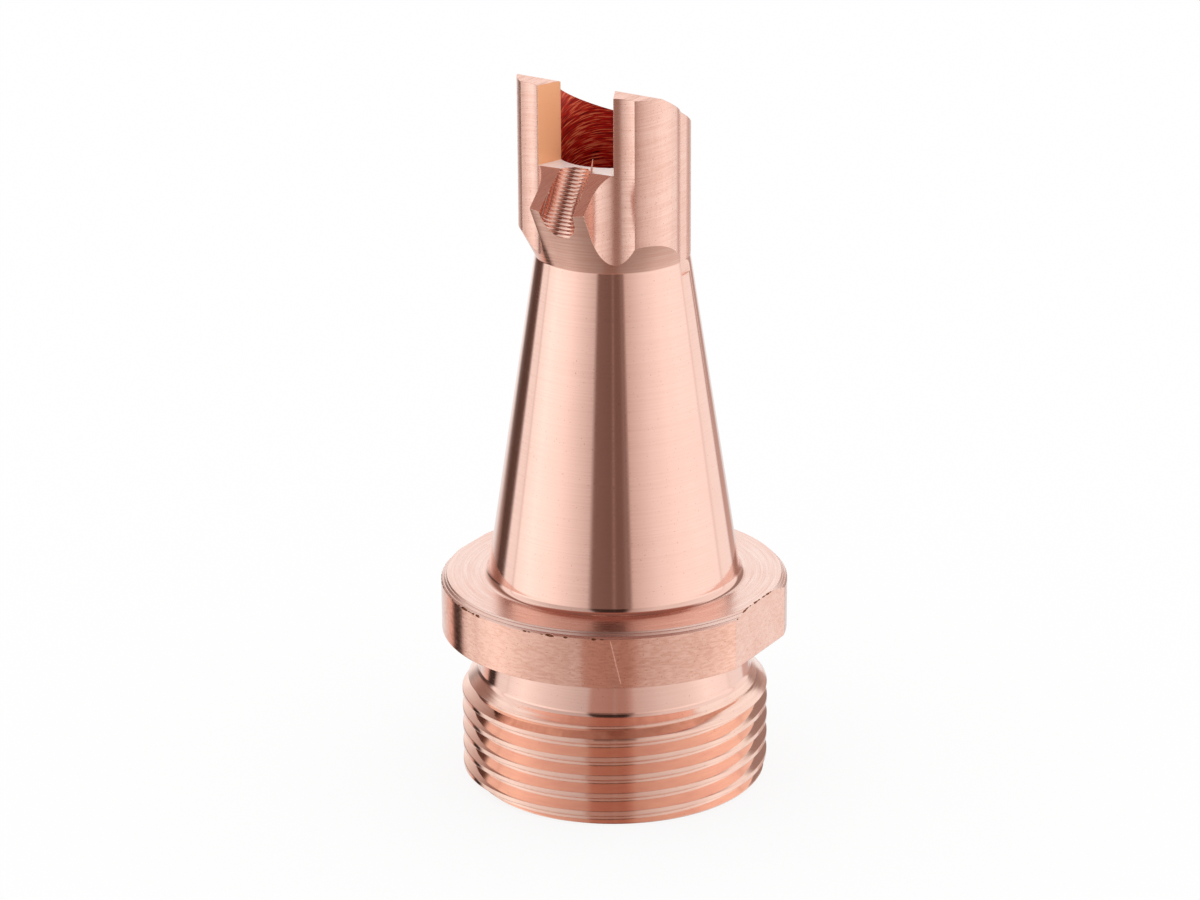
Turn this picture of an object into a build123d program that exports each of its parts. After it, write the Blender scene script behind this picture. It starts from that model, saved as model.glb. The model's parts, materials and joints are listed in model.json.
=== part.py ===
from build123d import *
from math import ceil, cos, radians, sin, sqrt, tan
import os

# Nozzle turned and milled from one bar of copper.
# Millimetres, +Z along the beam towards the tip, origin at the centre of the threaded end.
# The wire slot opens towards -Y and the two wrench flats face +X and -X.

# Threaded end
THREAD_R = 8.0            # major radius of the mounting thread
THREAD_PITCH = 1.0
THREAD_START = 0.92       # height of the thread's crest on the +X side
CREST_FLAT = 0.16         # width of the land left on top of each turn
ROOT_FLAT = 0.14          # width of the cutter's tip
FLANK_HALF_ANGLE = 30     # degrees, of the thread's V
END_CHAMFER = 0.35        # on the threaded end's outer edge
NECK_R = 7.1              # relief behind the thread
NECK_LENGTH = 2.3         # from the flange down to the lead cone
LEAD_ANGLE = 45           # degrees, cone from the relief out to the thread

# Flange
FLANGE_R = 9.0
FLANGE_BOTTOM = 8.08      # height of the seat under the flange
FLANGE_T = 2.94
FLANGE_CHAMFER = 0.3      # on the flange's upper edge
FLAT_ACROSS = 17.2        # across the wrench flats
FOOT_FILLET = 0.45        # between the flange and the cone

# Cone
CONE_HALF_ANGLE = 8.65    # degrees from the beam axis
CONE_TOP_R = 3.94
CONE_LENGTH = 17.23       # from the flange up to the head

# Head
HEAD_LENGTH = 9.08        # from the cone's top to the crest of the tip, on the centre plane
HEAD_R = 5.8              # turned radius of the head before milling
HEAD_UNDER_ANGLE = 28.0   # degrees from the beam axis, cone under the head
CORE_R = 3.96             # round barrel behind the lobes
SIDE_FLAT_ACROSS = 7.84   # across the flats milled behind the lobes
SIDE_FLAT_RUNOUT = 0.7    # how far those flats run down past the cone's top
LOBE_R = 2.51             # the two round lobes beside the slot
LOBE_X = 1.78
LOBE_Y = 1.38             # in front of the beam axis
FLUTE_R = 1.38            # upright flutes that leave the wire nose standing
NOSE_WIDTH = 3.07         # of the nose that holds the wire groove
FLUTE_Y = 4.77            # centre of the flute's end, in front of the axis

# Tip
CREST_Y = 2.28            # crest in front of the beam axis
BACK_FALL = 27.8          # degrees, slope that falls to the back
SIDE_FALL = 2.0           # degrees, the tip's cuts lean this much towards +X
SLOT_DEPTH = 3.97         # from the crest down to the slot's floor
SLOT_FRONT = 4.36         # slot's width at the front edge of its floor
SLOT_LEAN_LEFT = 18       # degrees, the -X wall leans out towards the front
SLOT_LEAN_RIGHT = 26      # degrees, the +X wall leans out more
CHEEK_Y = 3.69            # front edge of the slot's floor
CHEEK_FALL = 42           # degrees, slope of the cheeks beside the wire groove

# Wire groove
GROOVE_R = 0.94
GROOVE_TOP_Y = 3.0        # deepest line of the groove, at the slot's floor
GROOVE_LEAN = 31.8        # degrees from the beam axis
RIDGE_PITCH = 0.2         # fine ridges along the groove
RIDGE_DEPTH = 0.05

# Beam passage
BORE_R = 2.75             # straight bore at the tip
ENTRY_R = 6.0             # wide end, in the threaded end
BORE_LENGTH = 7.36        # straight bore below the slot's floor
ENTRY_CHAMFER = 0.4

# Derived sizes
FLANGE_TOP = FLANGE_BOTTOM + FLANGE_T
CONE_TOP = FLANGE_TOP + CONE_LENGTH
CONE_FOOT_R = CONE_TOP_R + CONE_LENGTH * tan(radians(CONE_HALF_ANGLE))
TIP_HEIGHT = CONE_TOP + HEAD_LENGTH
SLOT_FLOOR = TIP_HEIGHT - SLOT_DEPTH
BORE_START = SLOT_FLOOR - BORE_LENGTH
SIDE_FLAT_BOTTOM = CONE_TOP - SIDE_FLAT_RUNOUT
HEAD_UNDER_TOP = CONE_TOP + (HEAD_R - CONE_TOP_R) / tan(radians(HEAD_UNDER_ANGLE))
NECK_BOTTOM = FLANGE_BOTTOM - NECK_LENGTH
LEAD_BOTTOM = NECK_BOTTOM - (THREAD_R - NECK_R) / tan(radians(LEAD_ANGLE))
THREAD_DEPTH = (THREAD_PITCH - CREST_FLAT - ROOT_FLAT) / 2 / tan(radians(FLANK_HALF_ANGLE))
FLUTE_X = NOSE_WIDTH / 2 + FLUTE_R
HEAD_BASE = CONE_TOP - (CORE_R - CONE_TOP_R) / tan(radians(CONE_HALF_ANGLE))
BLANK_TOP = TIP_HEIGHT + 1
BIG = 2 * FLANGE_R


def turned_body():
    """The blank as it leaves the lathe, before any milling."""
    with BuildPart() as body:
        with BuildSketch(Plane.XZ):
            with BuildLine():
                Polyline(
                    (0, 0),
                    (THREAD_R - END_CHAMFER, 0),
                    (THREAD_R, END_CHAMFER),
                    (THREAD_R, LEAD_BOTTOM),
                    (NECK_R, NECK_BOTTOM),
                    (NECK_R, FLANGE_BOTTOM),
                    (FLANGE_R, FLANGE_BOTTOM),
                    (FLANGE_R, FLANGE_TOP - FLANGE_CHAMFER),
                    (FLANGE_R - FLANGE_CHAMFER, FLANGE_TOP),
                    (CONE_FOOT_R, FLANGE_TOP),
                    (CONE_TOP_R, CONE_TOP),
                    (HEAD_R, HEAD_UNDER_TOP),
                    (HEAD_R, BLANK_TOP),
                    (0, BLANK_TOP),
                    close=True,
                )
            make_face()
            foot = vertices().sort_by_distance((CONE_FOOT_R, FLANGE_TOP))[0]
            fillet(foot, radius=FOOT_FILLET)
        revolve(axis=Axis.Z)
    return body.part


def beam_passage():
    """Tapered passage from the threaded end into the straight bore."""
    with BuildPart() as passage:
        with BuildSketch(Plane.XZ):
            with BuildLine():
                Polyline(
                    (0, -1),
                    (ENTRY_R + ENTRY_CHAMFER + 1, -1),
                    (ENTRY_R, ENTRY_CHAMFER),
                    (BORE_R, BORE_START),
                    (BORE_R, BLANK_TOP + 1),
                    (0, BLANK_TOP + 1),
                    close=True,
                )
            make_face()
        revolve(axis=Axis.Z)
    return passage.part


def head_outline():
    """Outline of the head seen along the beam: round barrel, two lobes and the wire nose."""
    with BuildSketch() as outline:
        Circle(CORE_R)
        with Locations((LOBE_X, -LOBE_Y), (-LOBE_X, -LOBE_Y)):
            Circle(LOBE_R)
        with Locations((0, -HEAD_R)):
            Rectangle(2 * FLUTE_X, 2 * HEAD_R - 2 * LOBE_Y)
        for side in (1, -1):
            with Locations((side * FLUTE_X, -FLUTE_Y)):
                Circle(FLUTE_R, mode=Mode.SUBTRACT)
            with Locations((side * FLUTE_X, -FLUTE_Y - HEAD_R)):
                Rectangle(2 * FLUTE_R, 2 * HEAD_R, mode=Mode.SUBTRACT)
    return outline.sketch


def above(base, sketch):
    """A sketch drawn out from a height to clear above the tip."""
    return extrude(Pos(0, 0, base) * sketch, amount=BLANK_TOP + 1 - base)


def side_profile(points):
    """A cutter's outline in the beam's centre plane, drawn out past both sides."""
    with BuildPart() as cutter:
        with BuildSketch(Plane.YZ):
            with BuildLine():
                Polyline(*points, close=True)
            make_face()
        extrude(amount=BIG, both=True)
    return cutter.part


def head_milling():
    """What is milled off the head's rim, down to where the barrel meets the cone."""
    waste = above(HEAD_BASE, Circle(BIG) - head_outline())
    step = SIDE_FLAT_ACROSS / 2
    lobe_end = -LOBE_Y + sqrt(LOBE_R**2 - (step - LOBE_X) ** 2)
    for side in (1, -1):
        block = Rectangle(BIG, BIG, align=(Align.MIN, Align.MIN))
        block = Pos(step, lobe_end) * block
        waste += above(SIDE_FLAT_BOTTOM, block if side > 0 else mirror(block, about=Plane.YZ))
    return waste


def tip_cut():
    """The flat land over the slot and the slope behind it, both leaning to one side."""
    back = BIG + CREST_Y
    cutter = side_profile(
        [
            (-BIG, 0),
            (-CREST_Y, 0),
            (BIG, -back * tan(radians(BACK_FALL))),
            (BIG, BIG),
            (-BIG, BIG),
        ]
    )
    return Pos(0, 0, TIP_HEIGHT) * Rot(0, SIDE_FALL, 0) * cutter


def slot_cut():
    """Slot from the bore out to the front, wider towards its mouth."""
    inner = BORE_R / 2
    spread_left = tan(radians(SLOT_LEAN_LEFT))
    spread_right = tan(radians(SLOT_LEAN_RIGHT))
    with BuildSketch() as plan:
        with BuildLine():
            Polyline(
                (-SLOT_FRONT / 2 + (CHEEK_Y - inner) * spread_left, -inner),
                (SLOT_FRONT / 2 - (CHEEK_Y - inner) * spread_right, -inner),
                (SLOT_FRONT / 2 + (BIG - CHEEK_Y) * spread_right, -BIG),
                (-SLOT_FRONT / 2 - (BIG - CHEEK_Y) * spread_left, -BIG),
                close=True,
            )
        make_face()
    return above(SLOT_FLOOR, plan.sketch)


def cheek_cut():
    """Sloped cheeks on both sides of the wire groove."""
    run = BIG - CHEEK_Y
    return side_profile(
        [
            (-CHEEK_Y, SLOT_FLOOR),
            (-CHEEK_Y, BLANK_TOP + 1),
            (-BIG, BLANK_TOP + 1),
            (-BIG, SLOT_FLOOR - run * tan(radians(CHEEK_FALL))),
        ]
    )


def wire_groove():
    """Round-bottomed groove with fine ridges, leaning out from the slot's floor."""
    lean = radians(GROOVE_LEAN)
    up = Vector(0, sin(lean), cos(lean))
    deepest = Vector(0, -GROOVE_TOP_Y, SLOT_FLOOR)
    axis_point = deepest + Vector(0, -cos(lean), sin(lean)) * GROOVE_R
    frame = Plane(origin=axis_point, x_dir=(1, 0, 0), z_dir=up)
    reach = (HEAD_R - CONE_TOP_R) / sin(lean) + GROOVE_R
    count = round((reach + GROOVE_R) / RIDGE_PITCH)
    bottom = GROOVE_R - count * RIDGE_PITCH
    wall = []
    for turn in range(count):
        height = bottom + turn * RIDGE_PITCH
        wall.append((GROOVE_R - RIDGE_DEPTH, height))
        wall.append((GROOVE_R, height + RIDGE_PITCH / 2))
    with BuildPart() as cutter:
        with BuildSketch(Plane.XZ):
            with BuildLine():
                Polyline((0, bottom), *wall, (GROOVE_R - RIDGE_DEPTH, GROOVE_R), (0, GROOVE_R), close=True)
            make_face()
        revolve(axis=Axis.Z)
        with Locations((0, 0, bottom)):
            Box(
                2 * GROOVE_R,
                HEAD_R,
                GROOVE_R - bottom,
                align=(Align.CENTER, Align.MAX, Align.MIN),
            )
    return frame.location * cutter.part


def half_turn():
    """Half a turn of the V between the crests of the right-hand thread."""
    outside = CREST_FLAT / 2
    half_root = ROOT_FLAT / 2
    half_mouth = half_root + (THREAD_DEPTH + outside) * tan(radians(FLANK_HALF_ANGLE))
    with BuildPart() as groove:
        with BuildLine() as path:
            Helix(pitch=THREAD_PITCH, height=THREAD_PITCH / 2, radius=THREAD_R)
        with BuildSketch(Plane(origin=path.line @ 0, x_dir=(1, 0, 0), z_dir=path.line % 0)):
            with BuildLine():
                Polyline(
                    (-THREAD_DEPTH, -half_root),
                    (outside, -half_mouth),
                    (outside, half_mouth),
                    (-THREAD_DEPTH, half_root),
                    close=True,
                )
            make_face()
        sweep(is_frenet=True)
    return groove.part


def cut_thread(body):
    """Cut the thread half a turn at a time, from below the end face to past the lead cone."""
    groove = half_turn()
    seam = 37  # degrees from +X, where the cuts meet, clear of the body's own seam
    below = THREAD_START - 2.5 * THREAD_PITCH
    for half in range(ceil(2 * (NECK_BOTTOM - below) / THREAD_PITCH)):
        turn = seam + 180 * half
        body -= Pos(0, 0, below + turn / 360 * THREAD_PITCH) * Rot(0, 0, turn) * groove
    return body


def wrench_flats():
    """Waste outside the two flats of the flange."""
    band = extrude(Pos(0, 0, FLANGE_BOTTOM) * Circle(BIG), amount=FLANGE_T)
    return band - Pos(0, 0, FLANGE_BOTTOM) * Box(
        FLAT_ACROSS, 2 * BIG, FLANGE_T, align=(Align.CENTER, Align.CENTER, Align.MIN)
    )


def nozzle():
    body = cut_thread(turned_body())
    body -= head_milling()
    body -= tip_cut()
    body -= slot_cut()
    body -= cheek_cut()
    body -= wire_groove()
    body -= wrench_flats()
    body -= beam_passage()
    return body


os.makedirs("parts", exist_ok=True)
export_step(nozzle(), "parts/nozzle_body.step")
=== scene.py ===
import json
import random
from math import cos, hypot, pi, radians, sin, sqrt, tan
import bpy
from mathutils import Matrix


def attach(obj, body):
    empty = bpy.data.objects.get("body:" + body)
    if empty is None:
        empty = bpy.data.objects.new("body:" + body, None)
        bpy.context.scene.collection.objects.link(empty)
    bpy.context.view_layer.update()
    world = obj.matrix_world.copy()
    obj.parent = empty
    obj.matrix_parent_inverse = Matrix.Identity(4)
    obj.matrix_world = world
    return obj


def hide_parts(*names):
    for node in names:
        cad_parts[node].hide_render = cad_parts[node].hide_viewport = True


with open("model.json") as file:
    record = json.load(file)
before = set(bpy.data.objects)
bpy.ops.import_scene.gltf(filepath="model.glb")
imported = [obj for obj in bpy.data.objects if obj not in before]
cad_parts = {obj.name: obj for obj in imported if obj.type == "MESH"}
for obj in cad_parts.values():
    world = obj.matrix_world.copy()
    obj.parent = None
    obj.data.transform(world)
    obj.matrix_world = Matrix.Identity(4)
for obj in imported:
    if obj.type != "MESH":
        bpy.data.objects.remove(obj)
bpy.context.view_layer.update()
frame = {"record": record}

from types import SimpleNamespace

import bpy
from mathutils import Matrix, Vector

bl_info = {
    "name": "Copper welding nozzle",
    "version": (1, 0, 0),
    "blender": (4, 5, 0),
    "location": "View3D > Sidebar > Nozzle",
    "description": "Turned and milled copper nozzle on a pale studio floor",
    "category": "Object",
}

BODY_NODE = "nozzle_body"
MOUNTS = {mount["name"]: mount for mount in frame["record"]["mounts"]}
MM = 0.001  # pieces are modelled at 1 unit = 1 mm, and finished in metres

THREAD_RADIUS = MOUNTS["mounting_thread"]["dims"]["r_mm"] * MM
BORE_RADIUS = MOUNTS["beam_bore"]["dims"]["r_mm"] * MM
SEAT_HEIGHT = MOUNTS["flange_seat"]["pos_m"][2]
ACROSS_FLATS = 2 * MOUNTS["wrench_flat_right"]["pos_m"][0]

# Small shapes, in mm.
CLEAR = 1.0  # how far a cutter runs past what it cuts
WELD = 1e-4  # points nearer than this are one
LONG_SIDE = 4  # a corner is broken where both its sides are this many breaks long
BREAK_SEGMENTS = 2
FILLET_STEPS = 8
SHARP_DEGREES = 25  # edges that turn more than this stay sharp
FACES_UP = 0.5  # rise of a face's normal, above which it is a top
FACES_AXIS = -0.1  # below this, a face's normal points at the beam axis
CHAMFER_LEDGES = (0.3, 0.7)  # the ledges' places, as shares of the flange's chamfer
THREAD_FLANK = radians(30)
TURNS_BELOW = 2.5  # the thread's cutter starts this many turns under the first crest
TURNS_SPARE = 3  # and has this many turns more than the threaded end
WASTE_STEPS = 32  # facets round the head's waste, whose outer wall cuts nothing
MOUTH_ROOM = 0.01  # the groove's mouth clears its round bottom by this much on each side
CORE_SHARE = 1 / 8  # hollow along the axis of the groove's cutter, as a share of its radius
CORE_STEPS = 16  # facets round the post that fills it
RIDGE_FORM = ((0.2, 0.7), (0.35, 0.95), (0.5, 1.0), (0.65, 0.95), (0.8, 0.7))  # place, height

NICK_SEED = 7
FLAT_NICK_EVERY = 3  # one knock in this many is on the edge of the +X flat
NICK_ARC = (-165, -62)  # degrees round from +X, of the knocks on the round edge
NICK_SPAN = (-2.6, 1.2)  # along Y, of the knocks on the flat's edge
NICK_SHARES = (0.25, 0.9)  # smallest and largest knock, as shares of the nick size
NICK_LENGTHS = (1.2, 3.0)  # shortest and longest along the edge, for its size
NICK_NARROWING = 0.8  # the same across the edge
NICK_LEAN = 0.15  # radians
NICK_ROLL = 3  # radians

SCRATCH_TURNS = (-61.6, -58.3)  # degrees round from +X, of its upper and lower ends
SCRATCH_GAPS = (0.1, 0.25)  # from the chamfer down to it, and from the underside up to it
SCRATCH_REACH = 0.02  # how far its cutter stands out of the flange, and how deep it goes

BURR_FOOT = (0.06, 0.55, 0.1)  # in from the groove's side, ahead of its deepest line, down
BURR_RADII = (0.13, 0.04)  # at its foot and at its tip
BURR_SIDES = 7
BURR_TURN = (0, 0.12, 0.5)  # radians
BURR_STRETCH = (0.6, 1.3, 1)


def length(name, default, description):
    """A size that a user may change, in metres."""
    return bpy.props.FloatProperty(
        name=name, description=description, default=default, min=0.0, precision=5, unit="LENGTH"
    )


def angle(name, degrees, description):
    """An angle that a user may change."""
    return bpy.props.FloatProperty(
        name=name, description=description, default=radians(degrees), subtype="ANGLE", unit="ROTATION"
    )


def count(name, default, description):
    """A number that a user may change."""
    return bpy.props.IntProperty(name=name, description=description, default=default, min=3)


class NozzleSizes(bpy.types.PropertyGroup):
    """Sizes of the turned and milled nozzle."""

    thread_r: length("Thread radius", THREAD_RADIUS, "Crest of the mounting thread")
    thread_pitch: length("Thread pitch", 1.0 * MM, "From one crest to the next")
    thread_start: length("First crest", 0.92 * MM, "Height of a crest on the +X side")
    crest_flat: length("Crest land", 0.22 * MM, "Width of the land on each turn")
    root_flat: length("Root land", 0.14 * MM, "Width of the thread cutter's tip")
    end_chamfer: length("End chamfer", 0.35 * MM, "Chamfer on the threaded end")
    neck_r: length("Relief radius", 7.1 * MM, "Relief behind the thread")
    neck_length: length("Relief length", 2.3 * MM, "From the flange down to the lead cone")
    flange_r: length("Flange radius", 9.0 * MM, "Round part of the flange")
    flange_bottom: length("Seat height", SEAT_HEIGHT, "Underside of the flange")
    flange_t: length("Flange thickness", 2.94 * MM, "Height of the flange")
    flange_chamfer: length("Flange chamfer", 0.3 * MM, "Chamfer on the flange's upper edge")
    flat_across: length("Across flats", ACROSS_FLATS, "Distance between the wrench flats")
    foot_fillet: length("Foot fillet", 0.45 * MM, "Between the flange and the cone")
    cone_half_angle: angle("Cone half angle", 8.65, "Slope of the cone from the beam axis")
    cone_top_r: length("Cone top radius", 3.94 * MM, "Where the cone meets the head")
    cone_length: length("Cone length", 17.23 * MM, "From the flange up to the head")
    head_length: length("Head length", 9.08 * MM, "From the cone's top to the tip's crest")
    head_r: length("Head radius", 5.8 * MM, "Turned radius of the head before milling")
    head_under_angle: angle("Head under angle", 28.0, "Cone under the head, from the beam axis")
    core_r: length("Barrel radius", 3.96 * MM, "Round barrel behind the lobes")
    side_flat_across: length("Across side flats", 7.84 * MM, "Flats milled behind the lobes")
    side_flat_runout: length("Side flat runout", 0.7 * MM, "How far the flats run past the cone's top")
    lobe_r: length("Lobe radius", 2.51 * MM, "The round lobes beside the slot")
    lobe_x: length("Lobe offset", 1.78 * MM, "Sideways from the beam axis")
    lobe_y: length("Lobe advance", 1.38 * MM, "In front of the beam axis")
    flute_r: length("Flute radius", 1.38 * MM, "Upright flutes beside the wire nose")
    flute_y: length("Flute advance", 4.77 * MM, "Centre of the flute's end, in front of the axis")
    nose_width: length("Nose width", 3.07 * MM, "Nose that holds the wire groove")
    crest_y: length("Crest advance", 2.28 * MM, "Tip's crest in front of the beam axis")
    back_fall: angle("Back slope", 27.8, "Slope that falls to the back")
    side_fall: angle("Side lean", 2.0, "Lean of the tip's cuts towards +X")
    slot_depth: length("Slot depth", 3.97 * MM, "From the crest down to the slot's floor")
    slot_front: length("Slot width", 4.36 * MM, "At the front edge of the slot's floor")
    slot_lean_left: angle("Left wall lean", 18.0, "The -X wall leans out towards the front")
    slot_lean_right: angle("Right wall lean", 26.0, "The +X wall leans out more")
    cheek_y: length("Cheek advance", 3.69 * MM, "Front edge of the slot's floor")
    cheek_fall: angle("Cheek slope", 42.0, "Slope of the cheeks beside the groove")
    groove_r: length("Groove radius", 0.94 * MM, "Round bottom of the wire groove")
    groove_top_y: length("Groove advance", 3.0 * MM, "Deepest line at the slot's floor")
    groove_lean: angle("Groove lean", 31.8, "Lean of the groove from the beam axis")
    ridge_pitch: length("Ridge pitch", 0.2 * MM, "Fine ridges along the groove")
    ridge_depth: length("Ridge depth", 0.05 * MM, "Height of those ridges")
    bore_r: length("Bore radius", BORE_RADIUS, "Straight bore at the tip")
    bore_length: length("Bore length", 7.36 * MM, "Straight bore below the slot's floor")
    entry_r: length("Entry radius", 6.0 * MM, "Wide end of the beam passage")
    entry_chamfer: length("Entry chamfer", 0.4 * MM, "Chamfer on the wide end")
    edge_break: length("Edge break", 0.04 * MM, "Rounding left on every turned corner")
    ledge: length("Ledge", 0.035 * MM, "Fine ledges turned on the flange's chamfer")
    neck_fillet: length("Relief fillet", 0.4 * MM, "Between the relief and the lead cone")
    nick_r: length("Nick size", 0.12 * MM, "Size that the knocks are shares of")
    nicks: count("Nicks", 54, "Knocks along the flange's upper edge")
    scratch_w: length("Scratch width", 0.035 * MM, "Scratch on the flange's front")
    burr_height: length("Burr height", 0.75 * MM, "Sliver left standing beside the wire groove")
    round_steps: count("Steps round", 288, "Facets round the turned surfaces")
    cut_steps: count("Steps per cutter", 128, "Facets round the milling cutters")


class NozzleStage(bpy.types.PropertyGroup):
    """The floor, the light and the camera."""

    view_turn: angle("View turn", 29.73, "Camera's place, from -Y towards +X")
    view_rise: angle("View rise", 18.72, "Camera's height over the horizon")
    view_distance: length("View distance", 203.98 * MM, "From the camera to the beam axis")
    aim_height: length("Aim height", 20.0 * MM, "Height of that point")
    aim_yaw: angle("Aim yaw", 0.195, "Camera turned to the left")
    aim_pitch: angle("Aim pitch", -0.636, "Camera turned up")
    aim_roll: angle("Aim roll", 0.281, "Camera rolled")
    lens: bpy.props.FloatProperty(
        name="Lens", description="Focal length on a 36 mm sensor", default=119.31, min=1.0, unit="CAMERA"
    )
    floor_r: length("Floor radius", 700.0 * MM, "Radius of the pale floor")


def bench():
    """The sizes at 1 unit = 1 mm, and what follows from them."""
    group = bpy.context.scene.nozzle_sizes
    s = SimpleNamespace()
    for name, kind in group.bl_rna.properties.items():
        if kind.type == "FLOAT":
            value = getattr(group, name)
            setattr(s, name, value if kind.unit == "ROTATION" else value / MM)
        elif kind.type == "INT":
            setattr(s, name, getattr(group, name))
    s.flange_top = s.flange_bottom + s.flange_t
    s.cone_top = s.flange_top + s.cone_length
    s.cone_foot_r = s.cone_top_r + s.cone_length * tan(s.cone_half_angle)
    s.tip_height = s.cone_top + s.head_length
    s.slot_floor = s.tip_height - s.slot_depth
    s.bore_start = s.slot_floor - s.bore_length
    s.side_flat_bottom = s.cone_top - s.side_flat_runout
    s.head_under_top = s.cone_top + (s.head_r - s.cone_top_r) / tan(s.head_under_angle)
    s.neck_bottom = s.flange_bottom - s.neck_length
    s.lead_top = s.neck_bottom - s.neck_fillet / 3  # the polish runs a third round the fillet
    s.lead_bottom = s.neck_bottom - (s.thread_r - s.neck_r)
    s.thread_depth = (s.thread_pitch - s.crest_flat - s.root_flat) / 2 / tan(THREAD_FLANK)
    s.flute_x = s.nose_width / 2 + s.flute_r
    s.head_base = s.cone_top - (s.core_r - s.cone_top_r) / tan(s.cone_half_angle)
    s.blank_top = s.tip_height + CLEAR
    s.big = 2 * s.flange_r  # well outside the piece
    return s


def deselect():
    bpy.ops.object.select_all(action="DESELECT")


def only(piece):
    """Make a piece the active and only selected one."""
    deselect()
    piece.select_set(True)
    bpy.context.view_layer.objects.active = piece


def named(name):
    """Name the piece that was just added, and its mesh."""
    piece = bpy.context.active_object
    piece.name = name
    piece.data.name = name
    return piece


def settle():
    """Put the active piece's place, turn and size into its mesh."""
    bpy.ops.object.transform_apply(location=True, rotation=True, scale=True)


def edit_all():
    """Edit the active piece, with all of it selected."""
    bpy.ops.object.mode_set(mode="EDIT")
    bpy.ops.mesh.select_all(action="SELECT")


def close_up():
    """Turn all faces outwards and leave edit mode."""
    bpy.ops.mesh.select_all(action="SELECT")
    bpy.ops.mesh.normals_make_consistent(inside=False)
    bpy.ops.object.mode_set(mode="OBJECT")


def block(name, low, high):
    """A block between two corners."""
    deselect()
    middle = [(a + b) / 2 for a, b in zip(low, high)]
    bpy.ops.mesh.primitive_cube_add(size=1, location=middle)
    bpy.ops.transform.resize(value=[b - a for a, b in zip(low, high)])
    settle()
    return named(name)


def side_block(name, side, inner, outer, near, far):
    """A block from inner to outer on the +X or the -X side, between two corners (y, z)."""
    low_x, high_x = sorted((side * inner, side * outer))
    return block(name, (low_x, *near), (high_x, *far))


def post(name, centre, radius, bottom, top, steps):
    """An upright round post."""
    deselect()
    bpy.ops.mesh.primitive_cylinder_add(
        vertices=steps,
        radius=radius,
        depth=top - bottom,
        location=(centre[0], centre[1], (bottom + top) / 2),
        end_fill_type="NGON",
    )
    settle()
    return named(name)


def outline(name, points):
    """A closed outline: a plane is merged to one corner and drawn out from point to point."""
    deselect()
    bpy.ops.mesh.primitive_plane_add(size=1)
    piece = named(name)
    edit_all()
    bpy.ops.mesh.merge(type="CENTER")
    start = Vector(points[0])
    bpy.ops.transform.translate(value=start)
    for here, there in zip(points, points[1:]):
        step = Vector(there) - Vector(here)
        bpy.ops.mesh.extrude_vertices_move(TRANSFORM_OT_translate={"value": step})
    bpy.ops.mesh.select_all(action="SELECT")
    bpy.ops.mesh.edge_face_add()
    bpy.ops.object.mode_set(mode="OBJECT")
    return piece


def prism(name, points, direction):
    """A flat outline drawn out along one direction."""
    piece = outline(name, points)
    edit_all()
    bpy.ops.mesh.extrude_region_move(TRANSFORM_OT_translate={"value": direction})
    close_up()
    return piece


def break_corners(piece, size):
    """Break the corners of an outline between its long sides."""
    bpy.ops.object.mode_set(mode="EDIT")
    bpy.ops.mesh.select_all(action="DESELECT")
    bpy.ops.object.mode_set(mode="OBJECT")
    points = [vertex.co.copy() for vertex in piece.data.vertices]
    for i, vertex in enumerate(piece.data.vertices):
        before = (points[i] - points[i - 1]).length
        after = (points[i] - points[(i + 1) % len(points)]).length
        vertex.select = min(before, after) > LONG_SIDE * size
    bpy.ops.object.mode_set(mode="EDIT")
    bpy.ops.mesh.bevel(affect="VERTICES", offset=size, segments=BREAK_SEGMENTS)
    bpy.ops.object.mode_set(mode="OBJECT")


def turned(name, profile, steps, breaks=0.0):
    """A closed profile of (radius, height) points turned round Z, its corners broken first."""
    piece = outline(name, [(r, 0, z) for r, z in profile])
    if breaks:
        break_corners(piece, breaks)
    edit_all()
    bpy.ops.mesh.delete(type="ONLY_FACE")
    bpy.ops.mesh.select_all(action="SELECT")
    bpy.ops.mesh.spin(steps=steps, angle=2 * pi, center=(0, 0, 0), axis=(0, 0, 1))
    bpy.ops.mesh.select_all(action="SELECT")
    bpy.ops.mesh.remove_doubles(threshold=WELD)
    close_up()
    return piece


def combine(piece, other, operation):
    """Cut or join a piece with another one, which is then dropped."""
    only(piece)
    tool = piece.modifiers.new(operation.lower(), "BOOLEAN")
    tool.operation = operation
    tool.solver = "EXACT"
    tool.object = other
    tool.material_mode = "TRANSFER"
    bpy.ops.object.modifier_apply(modifier=tool.name)
    bpy.data.objects.remove(other)
    return piece


def cut(piece, other):
    return combine(piece, other, "DIFFERENCE")


def join(piece, other):
    return combine(piece, other, "UNION")


def turned_region(s, centre, normal):
    """Which finish a face of the turned blank has."""
    inward = centre.x * normal.x + centre.y * normal.y < FACES_AXIS
    if inward and centre.z > s.bore_start:
        return "bore"
    if inward and centre.z < s.cone_top and hypot(centre.x, centre.y) < s.entry_r:
        return "entry"
    if centre.z < s.lead_bottom:
        return "thread"
    if centre.z < s.lead_top:
        return "lead_cone"
    if centre.z < s.flange_bottom - s.edge_break:
        return "polished"
    if centre.z < s.flange_top + s.edge_break:
        return "flange_top" if normal.z > FACES_UP else "flange_side"
    return "polished" if centre.z < s.cone_top else "head_under"


def rounded(corner, before, after, radius):
    """Points of the arc that rounds a corner of an outline."""
    corner = Vector(corner)
    back = (Vector(before) - corner).normalized()
    ahead = (Vector(after) - corner).normalized()
    half = back.angle(ahead) / 2
    centre = corner + (back + ahead).normalized() * radius / sin(half)
    start = corner + back * radius / tan(half) - centre
    end = corner + ahead * radius / tan(half) - centre
    turn = start.angle_signed(end)
    turns = [-turn * i / FILLET_STEPS for i in range(FILLET_STEPS + 1)]
    return [centre + Matrix.Rotation(amount, 2) @ start for amount in turns]


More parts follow.
